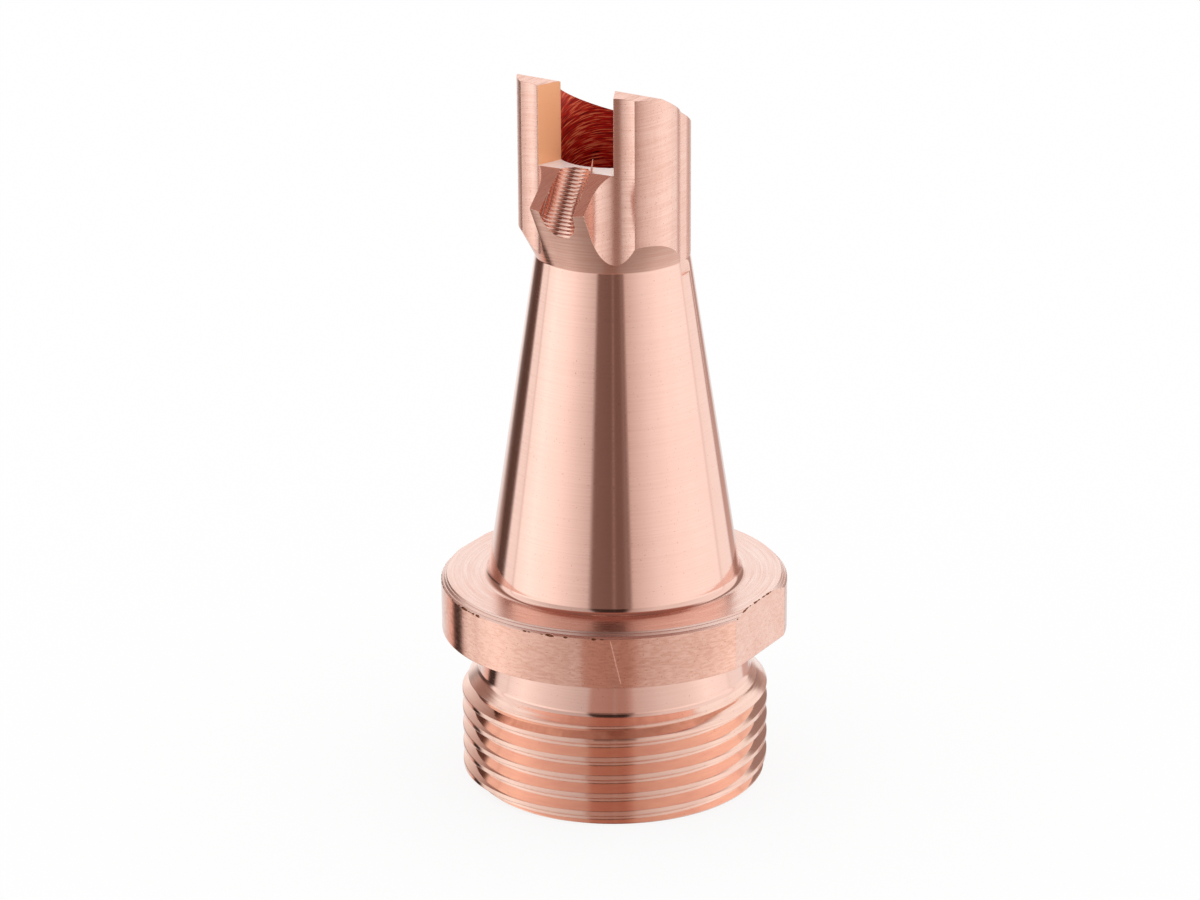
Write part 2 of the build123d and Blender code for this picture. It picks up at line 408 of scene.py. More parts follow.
def turned_blank(s, finishes):
    """The blank as it leaves the lathe, with the beam passage already through it."""
    foot = (s.cone_foot_r, s.flange_top)
    neck = (s.neck_r, s.neck_bottom)
    chamfer = []
    for share in CHAMFER_LEDGES:
        r = s.flange_r - share * s.flange_chamfer
        z = s.flange_top - (1 - share) * s.flange_chamfer
        chamfer.append((r, z))
        chamfer.append((r - s.ledge, z))
    profile = [
        (s.entry_r + s.entry_chamfer, 0),
        (s.thread_r - s.end_chamfer, 0),
        (s.thread_r, s.end_chamfer),
        (s.thread_r, s.lead_bottom),
        *rounded(neck, (s.thread_r, s.lead_bottom), (s.neck_r, s.flange_bottom), s.neck_fillet),
        (s.neck_r, s.flange_bottom),
        (s.flange_r, s.flange_bottom),
        (s.flange_r, s.flange_top - s.flange_chamfer),
        *chamfer,
        (s.flange_r - s.flange_chamfer, s.flange_top),
        *rounded(foot, (s.flange_r, s.flange_top), (s.cone_top_r, s.cone_top), s.foot_fillet),
        (s.cone_top_r, s.cone_top),
        (s.head_r, s.head_under_top),
        (s.head_r, s.blank_top),
        (s.bore_r, s.blank_top),
        (s.bore_r, s.bore_start),
        (s.entry_r, s.entry_chamfer),
    ]
    blank = turned(BODY_NODE + "_dressed", profile, s.round_steps, s.edge_break)
    for material in finishes.values():
        blank.data.materials.append(material)
    names = list(finishes)
    for face in blank.data.polygons:
        face.material_index = names.index(turned_region(s, face.center, face.normal))
    return blank


def thread_cutter(s):
    """The V between the crests of the right-hand thread, as one long screw."""
    outside = s.crest_flat / 2
    half_root = s.root_flat / 2
    half_mouth = half_root + (s.thread_depth + outside) * tan(THREAD_FLANK)
    turns = int(s.neck_bottom / s.thread_pitch) + TURNS_SPARE
    below = s.thread_start - TURNS_BELOW * s.thread_pitch
    corners = [
        (s.thread_r - s.thread_depth, -half_root),
        (s.thread_r + outside, -half_mouth),
        (s.thread_r + outside, half_mouth),
        (s.thread_r - s.thread_depth, half_root),
    ]
    piece = outline("thread_cutter", [(r, 0, below + z) for r, z in corners])
    edit_all()
    bpy.ops.mesh.delete(type="ONLY_FACE")
    bpy.ops.object.mode_set(mode="OBJECT")
    screw = piece.modifiers.new("screw", "SCREW")
    screw.axis = "Z"
    screw.angle = 2 * pi
    screw.screw_offset = s.thread_pitch
    screw.iterations = turns
    screw.steps = s.round_steps
    screw.render_steps = s.round_steps
    screw.use_merge_vertices = False
    bpy.ops.object.modifier_apply(modifier=screw.name)
    bpy.ops.object.mode_set(mode="EDIT")
    bpy.ops.mesh.select_all(action="DESELECT")
    bpy.ops.mesh.select_mode(type="EDGE")
    bpy.ops.mesh.select_non_manifold()
    bpy.ops.mesh.edge_face_add()
    bpy.ops.mesh.select_mode(type="VERT")
    close_up()
    return piece


def head_waste(s):
    """What is milled off the head's rim: all but the barrel, the lobes and the wire nose."""
    bottom, top = s.head_base - CLEAR, s.blank_top + 2 * CLEAR
    keep = post("keep", (0, 0), s.core_r, bottom, top, s.round_steps)
    for side in (1, -1):
        lobe = post("lobe", (side * s.lobe_x, -s.lobe_y), s.lobe_r, bottom, top, s.cut_steps)
        keep = join(keep, lobe)
    nose = block("nose", (-s.flute_x, -2 * s.head_r, bottom), (s.flute_x, -s.lobe_y, top))
    keep = join(keep, nose)
    low, high = bottom - CLEAR, top + CLEAR
    inner, outer = s.flute_x - s.flute_r, s.flute_x + s.flute_r + CLEAR
    for side in (1, -1):
        centre = (side * s.flute_x, -s.flute_y)
        keep = cut(keep, post("flute", centre, s.flute_r, low, high, s.cut_steps))
        corners = (-3 * s.head_r, low), (-s.flute_y, high)
        keep = cut(keep, side_block("flute_mouth", side, inner, outer, *corners))
    waste = post("waste", (0, 0), s.big, s.head_base, top - CLEAR, WASTE_STEPS)
    return cut(waste, keep)


def side_flats(s):
    """The flats milled behind the lobes, down past the cone's top."""
    step = s.side_flat_across / 2
    lobe_end = -s.lobe_y + sqrt(s.lobe_r**2 - (step - s.lobe_x) ** 2)
    corners = (lobe_end, s.side_flat_bottom), (s.big, s.blank_top + CLEAR)
    return [side_block("side_flat", side, step, s.big, *corners) for side in (1, -1)]


def tip_cutter(s):
    """The flat land over the slot and the slope behind it, both leaning to one side."""
    back = s.big + s.crest_y
    corners = [
        (-s.big, 0),
        (-s.crest_y, 0),
        (s.big, -back * tan(s.back_fall)),
        (s.big, s.big),
        (-s.big, s.big),
    ]
    piece = prism("tip_cutter", [(-s.big, y, z) for y, z in corners], (2 * s.big, 0, 0))
    piece.data.transform(Matrix.Translation((0, 0, s.tip_height)) @ Matrix.Rotation(s.side_fall, 4, "Y"))
    return piece


def slot_cutter(s):
    """Slot from the bore out to the front, wider towards its mouth."""
    inner = s.bore_r / 2
    left, right = tan(s.slot_lean_left), tan(s.slot_lean_right)
    half = s.slot_front / 2
    corners = [
        (-half + (s.cheek_y - inner) * left, -inner),
        (half - (s.cheek_y - inner) * right, -inner),
        (half + (s.big - s.cheek_y) * right, -s.big),
        (-half - (s.big - s.cheek_y) * left, -s.big),
    ]
    points = [(x, y, s.slot_floor) for x, y in corners]
    return prism("slot_cutter", points, (0, 0, s.blank_top + CLEAR - s.slot_floor))


def cheek_cutter(s):
    """Sloped cheeks on both sides of the wire groove."""
    corners = [
        (-s.cheek_y, s.slot_floor),
        (-s.cheek_y, s.blank_top + CLEAR),
        (-s.big, s.blank_top + CLEAR),
        (-s.big, s.slot_floor - (s.big - s.cheek_y) * tan(s.cheek_fall)),
    ]
    return prism("cheek_cutter", [(-s.big, y, z) for y, z in corners], (2 * s.big, 0, 0))


def groove_cutter(s):
    """Round-bottomed ridged cutters of the wire groove, open towards the front."""
    lean = s.groove_lean
    up = Vector((0, sin(lean), cos(lean)))
    out = Vector((0, -cos(lean), sin(lean)))
    origin = Vector((0, -s.groove_top_y, s.slot_floor)) + out * s.groove_r
    reach = (s.head_r - s.cone_top_r) / sin(lean) + s.groove_r
    ridges = round((reach + s.groove_r) / s.ridge_pitch)
    bottom = s.groove_r - ridges * s.ridge_pitch
    core = s.groove_r * CORE_SHARE
    wall = []
    for ridge in range(ridges):
        height = bottom + ridge * s.ridge_pitch
        wall.append((s.groove_r, height))
        for share, rise in RIDGE_FORM:
            wall.append((s.groove_r - rise * s.ridge_depth, height + share * s.ridge_pitch))
    profile = [(core, bottom), *wall, (s.groove_r, s.groove_r), (core, s.groove_r)]
    cutter = turned("groove_cutter", profile, s.cut_steps)
    half_mouth = s.groove_r + MOUTH_ROOM
    mouth = block("groove_mouth", (-half_mouth, -s.head_r, bottom), (half_mouth, 0, s.groove_r))
    core_post = post("groove_core", (0, 0), 2 * core, bottom, s.groove_r, CORE_STEPS)
    place = Matrix.Translation(origin) @ Matrix((Vector((1, 0, 0)), -out, up)).transposed().to_4x4()
    tools = [cutter, core_post, mouth]
    for tool in tools:
        tool.data.transform(place)
    return tools


def wrench_flat_cutters(s):
    """Waste outside the two flats of the flange."""
    step = s.flat_across / 2
    corners = (-s.big, s.flange_bottom - CLEAR), (s.big, s.flange_top + CLEAR)
    return [side_block("wrench_flat", side, step, s.big, *corners) for side in (1, -1)]


def nick_cutters(s):
    """Small knocks along the flange's upper edge: most at the front, some on the edge of the +X flat."""
    draw = random.Random(NICK_SEED)
    edge = s.flange_top - s.flange_chamfer
    pieces = []
    for i in range(s.nicks):
        if i % FLAT_NICK_EVERY:
            turn = radians(draw.uniform(*NICK_ARC))
            place = Vector((s.flange_r * cos(turn), s.flange_r * sin(turn), edge))
        else:
            turn, y = 0, draw.uniform(*NICK_SPAN)
            drop = max(0, hypot(s.flat_across / 2, y) - s.flange_r + s.flange_chamfer)
            place = Vector((s.flat_across / 2, y, s.flange_top - drop))
        size = s.nick_r * draw.uniform(*NICK_SHARES)
        deselect()
        bpy.ops.mesh.primitive_ico_sphere_add(subdivisions=1, radius=size, location=place)
        along = draw.uniform(*NICK_LENGTHS)
        knock = bpy.context.active_object
        lean = draw.uniform(-NICK_LEAN, NICK_LEAN)
        knock.rotation_euler = (lean, draw.uniform(0, NICK_ROLL), turn)
        knock.scale = (NICK_NARROWING, along, NICK_NARROWING)
        settle()
        pieces.append(knock)
    return pieces


def scratch_cutter(s):
    """A long shallow scratch down the flange's front."""
    start, end = [radians(turn) for turn in SCRATCH_TURNS]
    high = s.flange_top - s.flange_chamfer - SCRATCH_GAPS[0]
    low = s.flange_bottom + SCRATCH_GAPS[1]
    outside, half = s.flange_r + SCRATCH_REACH, s.scratch_w / 2
    top = Vector((outside * cos(start), outside * sin(start), high))
    bottom = Vector((outside * cos(end), outside * sin(end), low))
    side = (bottom - top).cross(Vector((top.x, top.y, 0))).normalized() * half
    inward = Vector((-top.x, -top.y, 0)).normalized() * (half + SCRATCH_REACH)
    return prism("scratch", [top - side, top + side, top + inward], bottom - top)


def burr(s):
    """A thin sliver that the cutter left standing at the groove's edge."""
    deselect()
    aside, ahead, sunk = BURR_FOOT
    foot = Vector((s.groove_r - aside, -s.groove_top_y - ahead, s.slot_floor - sunk))
    bpy.ops.mesh.primitive_cone_add(
        vertices=BURR_SIDES,
        radius1=BURR_RADII[0],
        radius2=BURR_RADII[1],
        depth=s.burr_height,
        location=foot + Vector((0, 0, s.burr_height / 2)),
    )
    piece = named("burr")
    piece.rotation_euler = BURR_TURN
    piece.scale = BURR_STRETCH
    settle()
    return piece


def finish_piece(piece):
    """Bring a bench piece to metres, smooth it between its edges and hand it to the frame."""
    only(piece)
    bpy.ops.transform.resize(value=(MM, MM, MM), center_override=(0, 0, 0))
    settle()
    bpy.ops.object.shade_smooth_by_angle(angle=radians(SHARP_DEGREES))
    # Large faces keep their true normals beside the finely broken corners.
    normals = piece.modifiers.new("true_normals", "WEIGHTED_NORMAL")
    normals.keep_sharp = True
    bpy.ops.object.modifier_apply(modifier=normals.name)
    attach(piece, "root")


def srgb(code):
    """An sRGB hex colour as the linear colour that a shader takes."""
    channels = [int(code[i : i + 2], 16) / 255 for i in (1, 3, 5)]
    linear = [c / 12.92 if c <= 0.04045 else ((c + 0.055) / 1.055) ** 2.4 for c in channels]
    return (*linear, 1.0)


def add_node(tree, kind, settings=None, inputs=None):
    """One node, with its settings, and its inputs set to values or linked to other sockets."""
    node = tree.nodes.new(kind)
    for key, value in (settings or {}).items():
        setattr(node, key, value)
    for key, value in (inputs or {}).items():
        if isinstance(value, bpy.types.NodeSocket):
            tree.links.new(value, node.inputs[key])
        else:
            node.inputs[key].default_value = value
    return node


# Colours of the copper, seen straight on.
CLEAN = "#FAD1C2"
HANDLED = "#F0C0AE"  # where air and fingers have dulled it a little
SLIGHT = "#F5CBBC"  # the faint side of a fine ring
WORN = "#E4AE9A"  # in the bottom of each fine mark
TANNED = "#FACAB7"  # under a film of cutting oil
FACED = "#FADCD1"  # freshly faced on the lathe
THREADED = "#FAD4C2"  # bright on the flanks, which mirror each other
LEAD_CONE_PAINTED_SHEEN = "#FFDACA"  # painted sheen: the paler, brighter side of each fine ring on the lead cone, standing in for the bright surroundings that it mirrors
SLOT_FLOOR_PAINTED_LIGHT = "#FFFAF8"  # painted light: near-white copper where light falls on the slot's floor
WARM_WALL = "#FFBC8C"  # lit by the copper that faces it
SCRATCHED = "#FF9C6C"  # fresh scratches inside the bore
DEEP_RED = "#D82012"  # between them, where the bore mirrors itself many times over
NEARLY_BLACK = "#2A0402"  # painted shade: the darkest places inside the bore
KNOCK_BROWN = "#9A6244"  # dull dark brown in the knocks
PIT = "#A8705E"  # tiny pits that hold some cutting oil

# How a finish shows its marks. The ranges are of a noise whose values lie round 0.5.
MARK_RANGE = (0.36, 0.64)  # from one tone to the other
MARK_SHARE = 0.75  # how far the marks alone change the tone
CLOUD_SIZE = 3.0  # mm
CLOUD_RANGE = (0.35, 0.7)
CLOUD_SHARE = 0.25  # how far large clouds change the tone either way
GLOSS_RANGE = (0.3, 0.7)  # from glossy to dull
PIT_SIZE = 0.08  # mm
PIT_START = 0.72  # a lower value gives more pits
PIT_EDGE = 0.04
PIT_SHARE = 0.5
EDGE_ROUNDING = 0.035 * MM  # how far the light runs round an edge that the cutter left sharp
CREST_ROUNDING = 0.07 * MM  # the same on the thread's crests
ROUNDING_SAMPLES = 4
RING_RADIUS = 8.0 * MM  # where a mark's run is measured
UPRIGHT_SHARE = 0.4  # of upright marks, to a side cutter's arcs

# The bore's scratches.
SCRATCHES_AND_LIGHT_ALONG_X = (1.5 * MM, -2.2 * MM)  # along X, from few scratches to many, so their pale tone also paints the -X side of the bore lighter
SCRATCH_BIAS = (-0.05, 0.06)  # what that adds to their noise
SCRATCH_RANGE = (0.58, 0.68)
BORE_SHADE_RANGE = (0.3, 0.5)
BORE_ROUGHNESS = 0.5
BORE_RELIEF = 0.003 * MM


def bare_metal(name, metal=1.0):
    """A surface with its nodes still to be added.

    With metal below 1 it scatters some plain light, as rough walls do that face each other.
    """
    material = bpy.data.materials.new(name)
    material.use_nodes = True
    shader = material.node_tree.nodes["Principled BSDF"]
    shader.inputs["Metallic"].default_value = metal
    return material, material.node_tree, shader


def streaks(tree, size_mm, turn_degrees=(0, 0, 0), detail=3.0):
    """Uneven marks of the given size along each axis, after the axes are turned."""
    coords = add_node(tree, "ShaderNodeTexCoord")
    place = add_node(
        tree,
        "ShaderNodeMapping",
        {"vector_type": "TEXTURE"},
        {
            "Vector": coords.outputs["Object"],
            "Rotation": [radians(a) for a in turn_degrees],
            "Scale": [size * MM for size in size_mm],
        },
    )
    noise = add_node(
        tree, "ShaderNodeTexNoise", None, {"Vector": place.outputs[0], "Scale": 1.0, "Detail": detail}
    )
    return noise.outputs["Fac"]


def rings(tree, step_mm, run_mm):
    """Uneven rings round the beam axis: step is their spacing and run the length of a mark."""
    place = add_node(tree, "ShaderNodeTexCoord").outputs["Object"]
    axes = add_node(tree, "ShaderNodeSeparateXYZ", None, {"Vector": place})
    x, y = axes.outputs["X"], axes.outputs["Y"]
    flat = add_node(tree, "ShaderNodeVectorMath", {"operation": "MULTIPLY"}, {0: place, 1: (1, 1, 0)})
    radius = add_node(tree, "ShaderNodeVectorMath", {"operation": "LENGTH"}, {0: flat.outputs[0]})
    reach = radius.outputs["Value"]
    turn = add_node(tree, "ShaderNodeMath", {"operation": "ARCTAN2"}, {0: y, 1: x}).outputs[0]
    step, run = step_mm * MM, run_mm * MM / RING_RADIUS
    across = add_node(tree, "ShaderNodeMath", {"operation": "DIVIDE"}, {0: reach, 1: step})
    along = add_node(tree, "ShaderNodeMath", {"operation": "DIVIDE"}, {0: turn, 1: run})
    point = add_node(tree, "ShaderNodeCombineXYZ", None, {"X": across.outputs[0], "Y": along.outputs[0]})
    noise = add_node(
        tree, "ShaderNodeTexNoise", None, {"Vector": point.outputs[0], "Scale": 1.0, "Detail": 3.0}
    )
    return noise.outputs["Fac"]


def ramped(tree, source, start, end, low=0.0, high=1.0):
    """A value brought from one range to another and held there."""
    node = add_node(
        tree,
        "ShaderNodeMapRange",
        None,
        {"Value": source, "From Min": start, "From Max": end, "To Min": low, "To Max": high},
    )
    return node.outputs[0]


def blended(tree, share, first, second):
    """One colour given way to another."""
    node = add_node(
        tree, "ShaderNodeMix", {"data_type": "RGBA"}, {"Factor": share, "A": first, "B": second}
    )
    return node.outputs["Result"]


def dress(tree, shader, marks, tones, gloss, relief_um, pit_from=PIT_START, rounding=EDGE_ROUNDING):
    """Marks show as tone, as changing gloss and as fine relief, with a few pits between them."""
    clouds = streaks(tree, (CLOUD_SIZE, CLOUD_SIZE, CLOUD_SIZE), detail=2.0)
    cloudy = ramped(tree, clouds, *CLOUD_RANGE, -CLOUD_SHARE, CLOUD_SHARE)
    marked_tone = ramped(tree, marks, *MARK_RANGE)
    tone_share = add_node(
        tree, "ShaderNodeMath", {"operation": "MULTIPLY_ADD"}, {0: marked_tone, 1: MARK_SHARE, 2: cloudy}
    )
    tone = blended(tree, tone_share.outputs[0], srgb(tones[0]), srgb(tones[1]))
    pits = streaks(tree, (PIT_SIZE, PIT_SIZE, PIT_SIZE), detail=1.0)
    pitted = ramped(tree, pits, pit_from, pit_from + PIT_EDGE, 0.0, PIT_SHARE)
    tree.links.new(blended(tree, pitted, tone, srgb(PIT)), shader.inputs["Base Color"])
    tree.links.new(ramped(tree, marks, *GLOSS_RANGE, *gloss), shader.inputs["Roughness"])
    edges = add_node(tree, "ShaderNodeBevel", {"samples": ROUNDING_SAMPLES}, {"Radius": rounding})
    depth = relief_um * MM / 1000
    relief = add_node(
        tree,
        "ShaderNodeBump",
        None,
        {"Strength": 1.0, "Distance": depth, "Height": marks, "Normal": edges.outputs[0]},
    )
    tree.links.new(relief.outputs[0], shader.inputs["Normal"])


def streaked(name, size_mm, metal=1.0, turn_degrees=(0, 0, 0), detail=3.0, **looks):
    """Copper whose marks are streaks, dressed with the given looks."""
    material, tree, shader = bare_metal(name, metal)
    dress(tree, shader, streaks(tree, size_mm, turn_degrees, detail), **looks)
    return material


def polished_copper():
    """Copper turned and then polished on the lathe: clear reflections, crossed by hair-fine rings."""
    looks = {"tones": (CLEAN, SLIGHT), "gloss": (0.06, 0.13), "relief_um": 0.3}
    return streaked("turned_and_polished_copper", (6, 6, 0.08), **looks)


def flange_side_copper():
    """Copper turned with a wider feed: satin, with uneven streaks that run round the flange."""
    looks = {"tones": (TANNED, WORN), "gloss": (0.08, 0.18), "relief_um": 4.0, "pit_from": 0.67}
    return streaked("turned_satin_copper", (0.4, 0.4, 0.1), detail=4.0, **looks)


def flat_copper():
    """Copper milled flat for the spanner: satin, with a fine grain."""
    looks = {"tones": (CLEAN, HANDLED), "gloss": (0.2, 0.32), "relief_um": 1.6, "pit_from": 0.68}
    return streaked("milled_flat_copper", (0.14, 0.3, 0.14), **looks)


def knocked_copper():
    """Small knocks in the flange's edge: dull and brown."""
    looks = {"tones": (KNOCK_BROWN, KNOCK_BROWN), "gloss": (0.3, 0.5), "relief_um": 1.0}
    return streaked("knocked_copper", (0.1, 0.1, 0.1), **looks)


def flange_top_copper():
    """Copper faced on the lathe: satin, with fine rings round the cone's foot."""
    material, tree, shader = bare_metal("faced_copper")
    marks = rings(tree, step_mm=0.09, run_mm=4.0)
    dress(tree, shader, marks, tones=(FACED, SLIGHT), gloss=(0.24, 0.36), relief_um=1.2)
    return material


def thread_copper():
    """Copper cut with a threading tool: bright, with marks along the turns and a few torn spots."""
    looks = {"tones": (THREADED, SLIGHT), "gloss": (0.06, 0.14), "relief_um": 1.2}
    return streaked("threaded_copper", (1.2, 1.2, 0.07), rounding=CREST_ROUNDING, **looks)


def lead_cone_copper():
    """Copper turned on a slope: a fine thread of tool marks that scatters the light, in a paler tone
    that is a painted sheen.
    """
    looks = {"tones": (LEAD_CONE_PAINTED_SHEEN, CLEAN), "gloss": (0.12, 0.22), "relief_um": 5.0}
    return streaked("turned_slope_copper", (9, 9, 0.1), **looks)


def head_under_copper():
    """Copper turned under the head: satin, with plain rings."""
    looks = {"tones": (HANDLED, WORN), "gloss": (0.12, 0.24), "relief_um": 2.5}
    return streaked("turned_under_head_copper", (3, 3, 0.09), **looks)


def side_milled_copper():
    """Copper milled with the side of a cutter: soft reflections and faint sloping arcs."""
    material, tree, shader = bare_metal("side_milled_copper")
    arcs = streaks(tree, size_mm=(2.4, 2.4, 0.09), turn_degrees=(5, -7, 0))
    uprights = streaks(tree, size_mm=(0.1, 0.1, 1.0))
    both = add_node(
        tree, "ShaderNodeMath", {"operation": "MULTIPLY_ADD"}, {0: uprights, 1: UPRIGHT_SHARE, 2: arcs}
    )
    whole = 1 / (1 + UPRIGHT_SHARE)
    marks = add_node(tree, "ShaderNodeMath", {"operation": "MULTIPLY"}, {0: both.outputs[0], 1: whole})
    tones, gloss = (CLEAN, HANDLED), (0.2, 0.34)
    dress(tree, shader, marks.outputs[0], tones, gloss, relief_um=2.6, pit_from=0.68)
    return material


def end_milled_copper():
    """Copper milled with the end of a cutter: dull, with slanting rows of fine cuts."""
    looks = {"tones": (TANNED, WORN), "gloss": (0.24, 0.4), "relief_um": 4.0}
    return streaked("end_milled_copper", (0.11, 1.2, 1.6), turn_degrees=(0, 42, 0), **looks)


def slot_wall_copper():
    """Copper milled inside the slot: satin, and warm from the copper that faces it."""
    looks = {"tones": (WARM_WALL, WARM_WALL), "gloss": (0.42, 0.5), "relief_um": 1.0}
    return streaked("slot_milled_copper", (0.6, 0.6, 0.1), metal=0.15, **looks)


def slot_floor_copper():
    """Copper faced at the slot's floor, painted almost white for the light that falls on it, with no
    clear reflection.
    """
    looks = {"tones": (SLOT_FLOOR_PAINTED_LIGHT, SLOT_FLOOR_PAINTED_LIGHT), "gloss": (0.3, 0.45), "relief_um": 1.5}
    return streaked("fresh_faced_copper", (0.5, 0.08, 0.5), metal=0.3, **looks)


def groove_copper():
    """Copper of the ridged wire groove: bright on each ridge."""
    looks = {"tones": (CLEAN, CLEAN), "gloss": (0.1, 0.2), "relief_um": 0.4}
    return streaked("ridged_copper", (0.3, 0.3, 0.3), **looks)


def bore_copper():
    """Copper of the reamed bore: deep red, because it mirrors itself, with long slanting scratches."""
    material, tree, shader = bare_metal("reamed_bore_copper", metal=0.5)
    scratches = streaks(tree, size_mm=(0.9, 0.9, 0.05), turn_degrees=(22, 18, 0), detail=4.0)
    coords = add_node(tree, "ShaderNodeTexCoord")
    axes = add_node(tree, "ShaderNodeSeparateXYZ", None, {"Vector": coords.outputs["Object"]})
    bias = ramped(tree, axes.outputs["X"], *SCRATCHES_AND_LIGHT_ALONG_X, *SCRATCH_BIAS)
    scratched_and_lit = add_node(tree, "ShaderNodeMath", {"operation": "ADD"}, {0: scratches, 1: bias})
    # Painted shade and painted reflection: near-black and deep red, mixed by the scratches' noise.
    shade_share = ramped(tree, scratches, *BORE_SHADE_RANGE)
    painted_shade_and_reflection = blended(tree, shade_share, srgb(NEARLY_BLACK), srgb(DEEP_RED))
    bright = ramped(tree, scratched_and_lit.outputs[0], *SCRATCH_RANGE)
    tone = blended(tree, bright, painted_shade_and_reflection, srgb(SCRATCHED))
    tree.links.new(tone, shader.inputs["Base Color"])
    shader.inputs["Roughness"].default_value = BORE_ROUGHNESS
    relief = add_node(
        tree, "ShaderNodeBump", None, {"Strength": 1.0, "Distance": BORE_RELIEF, "Height": scratches}
    )
    tree.links.new(relief.outputs[0], shader.inputs["Normal"])
    return material


def turned_finishes():
    """The finishes that the lathe left, by the region of the blank."""
    return {
        "polished": polished_copper(),
        "flange_side": flange_side_copper(),
        "flange_top": flange_top_copper(),
        "thread": thread_copper(),
        "lead_cone": lead_cone_copper(),
        "head_under": head_under_copper(),
        "entry": flange_side_copper(),
        "bore": bore_copper(),
    }


def marked(tool, *materials):
    """A cutter leaves its own finish on what it cuts."""
    tool.data.materials.clear()
    for material in materials:
        tool.data.materials.append(material)
    tool.data.polygons.foreach_set("material_index", [0] * len(tool.data.polygons))
    return tool


class NOZZLE_OT_body(bpy.types.Operator):
    """Model the turned and milled nozzle"""

    bl_idname = "nozzle.body"
    bl_label = "Nozzle body"

    def execute(self, context):
        s = bench()
        finishes = turned_finishes()
        body = turned_blank(s, finishes)
        milled, ended, walls = side_milled_copper(), end_milled_copper(), slot_wall_copper()
        spanner, knocked = flat_copper(), knocked_copper()
        for tool in wrench_flat_cutters(s):
            cut(body, marked(tool, spanner))
        for tool in nick_cutters(s):
            cut(body, marked(tool, knocked))
        cut(body, marked(scratch_cutter(s), finishes["flange_side"]))
        cut(body, marked(head_waste(s), milled))
        for tool in side_flats(s):
            cut(body, marked(tool, milled))
        cut(body, marked(tip_cutter(s), ended))
        slot = marked(slot_cutter(s), walls, slot_floor_copper())
        for face in slot.data.polygons:
            face.material_index = int(face.normal.z < -FACES_UP)
        cut(body, slot)
        cut(body, marked(cheek_cutter(s), ended))
        ridged = groove_copper()
        for tool in groove_cutter(s):
            cut(body, marked(tool, ridged))
        join(body, marked(burr(s), ended))
        cut(body, marked(thread_cutter(s), finishes["thread"]))
        finish_piece(body)
        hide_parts(BODY_NODE)
        return {"FINISHED"}


# What the polished copper sees round it. Azimuth from the photograph's camera, positive to its
# right, in degrees, then the brightness level with the nozzle, the same from a little below and
# from above, and how warm it is.
GAP = "#FFCFC0"  # tint of the warmest gaps
STUDIO_WALLS = (
    (-180, 1.0, 0.90, 1.05, 0.0),
    (-160, 1.0, 0.85, 1.05, 0.0),
    (-148, 0.20, 0.84, 0.65, 0.4),
    (-138, 0.11, 0.78, 0.35, 1.0),
    (-134, 0.10, 0.06, 0.3, 1.0),
    (-124, 0.12, 0.04, 0.27, 1.0),
    (-121, 0.28, 0.60, 0.6, 0.4),
    (-117, 1.0, 0.90, 1.0, 0.0),
    (-106, 0.98, 0.95, 1.0, 0.0),
    (-104, 0.78, 0.85, 0.8, 0.1),
    (-102, 1.1, 0.97, 1.0, 0.0),
    (-85, 1.25, 1.1, 0.9, 0.0),
    (-60, 1.14, 0.84, 0.66, 0.1),
    (-24, 0.66, 0.58, 0.5, 0.25),
    (-20, 0.22, 0.46, 0.06, 0.9),
    (-2, 0.18, 0.40, 0.04, 1.0),
    (0, 0.30, 0.44, 0.06, 0.8),
    (2, 0.18, 0.41, 0.04, 1.0),
    (9, 0.19, 0.42, 0.04, 1.0),
    (11, 0.27, 0.45, 0.07, 0.8),
    (14, 0.24, 0.53, 0.3, 0.8),
    (17, 0.64, 0.60, 0.5, 0.4),
    (42, 0.92, 0.78, 0.8, 0.15),
    (64, 1.08, 0.88, 0.85, 0.1),
    (85, 1.1, 1.08, 0.95, 0.0),
    (111, 1.08, 1.02, 1.0, 0.0),
    (114, 0.86, 0.92, 0.9, 0.1),
    (117, 1.02, 0.96, 1.0, 0.0),
    (138, 1.0, 0.92, 1.0, 0.0),
    (142, 0.5, 0.66, 0.35, 0.7),
    (157, 0.5, 0.62, 0.35, 0.7),
    (162, 0.95, 0.80, 1.05, 0.0),
)
WHITE = (1, 1, 1, 1)
UNDER_SHARE = 0.6  # the rest still shows the walls
UNDER = (0.20, 0.17, 0.16, 1)  # from far below
HIGH = (0.33, 0.14, 0.11, 1)  # from high above
OVERHEAD = (0.22, 0.11, 0.09, 1)  # from straight above
# Degrees over the horizon where each of them starts, and where it is whole.
LOW_FADE = (-14, -18)
ABOVE_FADE = (3, 9)
UNDER_FADE = (-35, -65)
HIGH_FADE = (46, 56)
OVERHEAD_FADE = (62, 72)


def band(tree, share, level_at):
    """A ramp round the horizon: each wall's colour where it stands."""
    walls = add_node(tree, "ShaderNodeValToRGB", None, {"Fac": share})
    ramp = walls.color_ramp
    ramp.elements.remove(ramp.elements[-1])
    gap = srgb(GAP)
    for i, wall in enumerate(STUDIO_WALLS):
        place = (wall[0] + 180) / 360
        stop = ramp.elements[0] if i == 0 else ramp.elements.new(place)
        stop.position = place
        warmth = wall[-1]
        stop.color = (*[wall[level_at] * (1 + warmth * (c / gap[0] - 1)) for c in gap[:3]], 1.0)
    return walls.outputs["Color"]


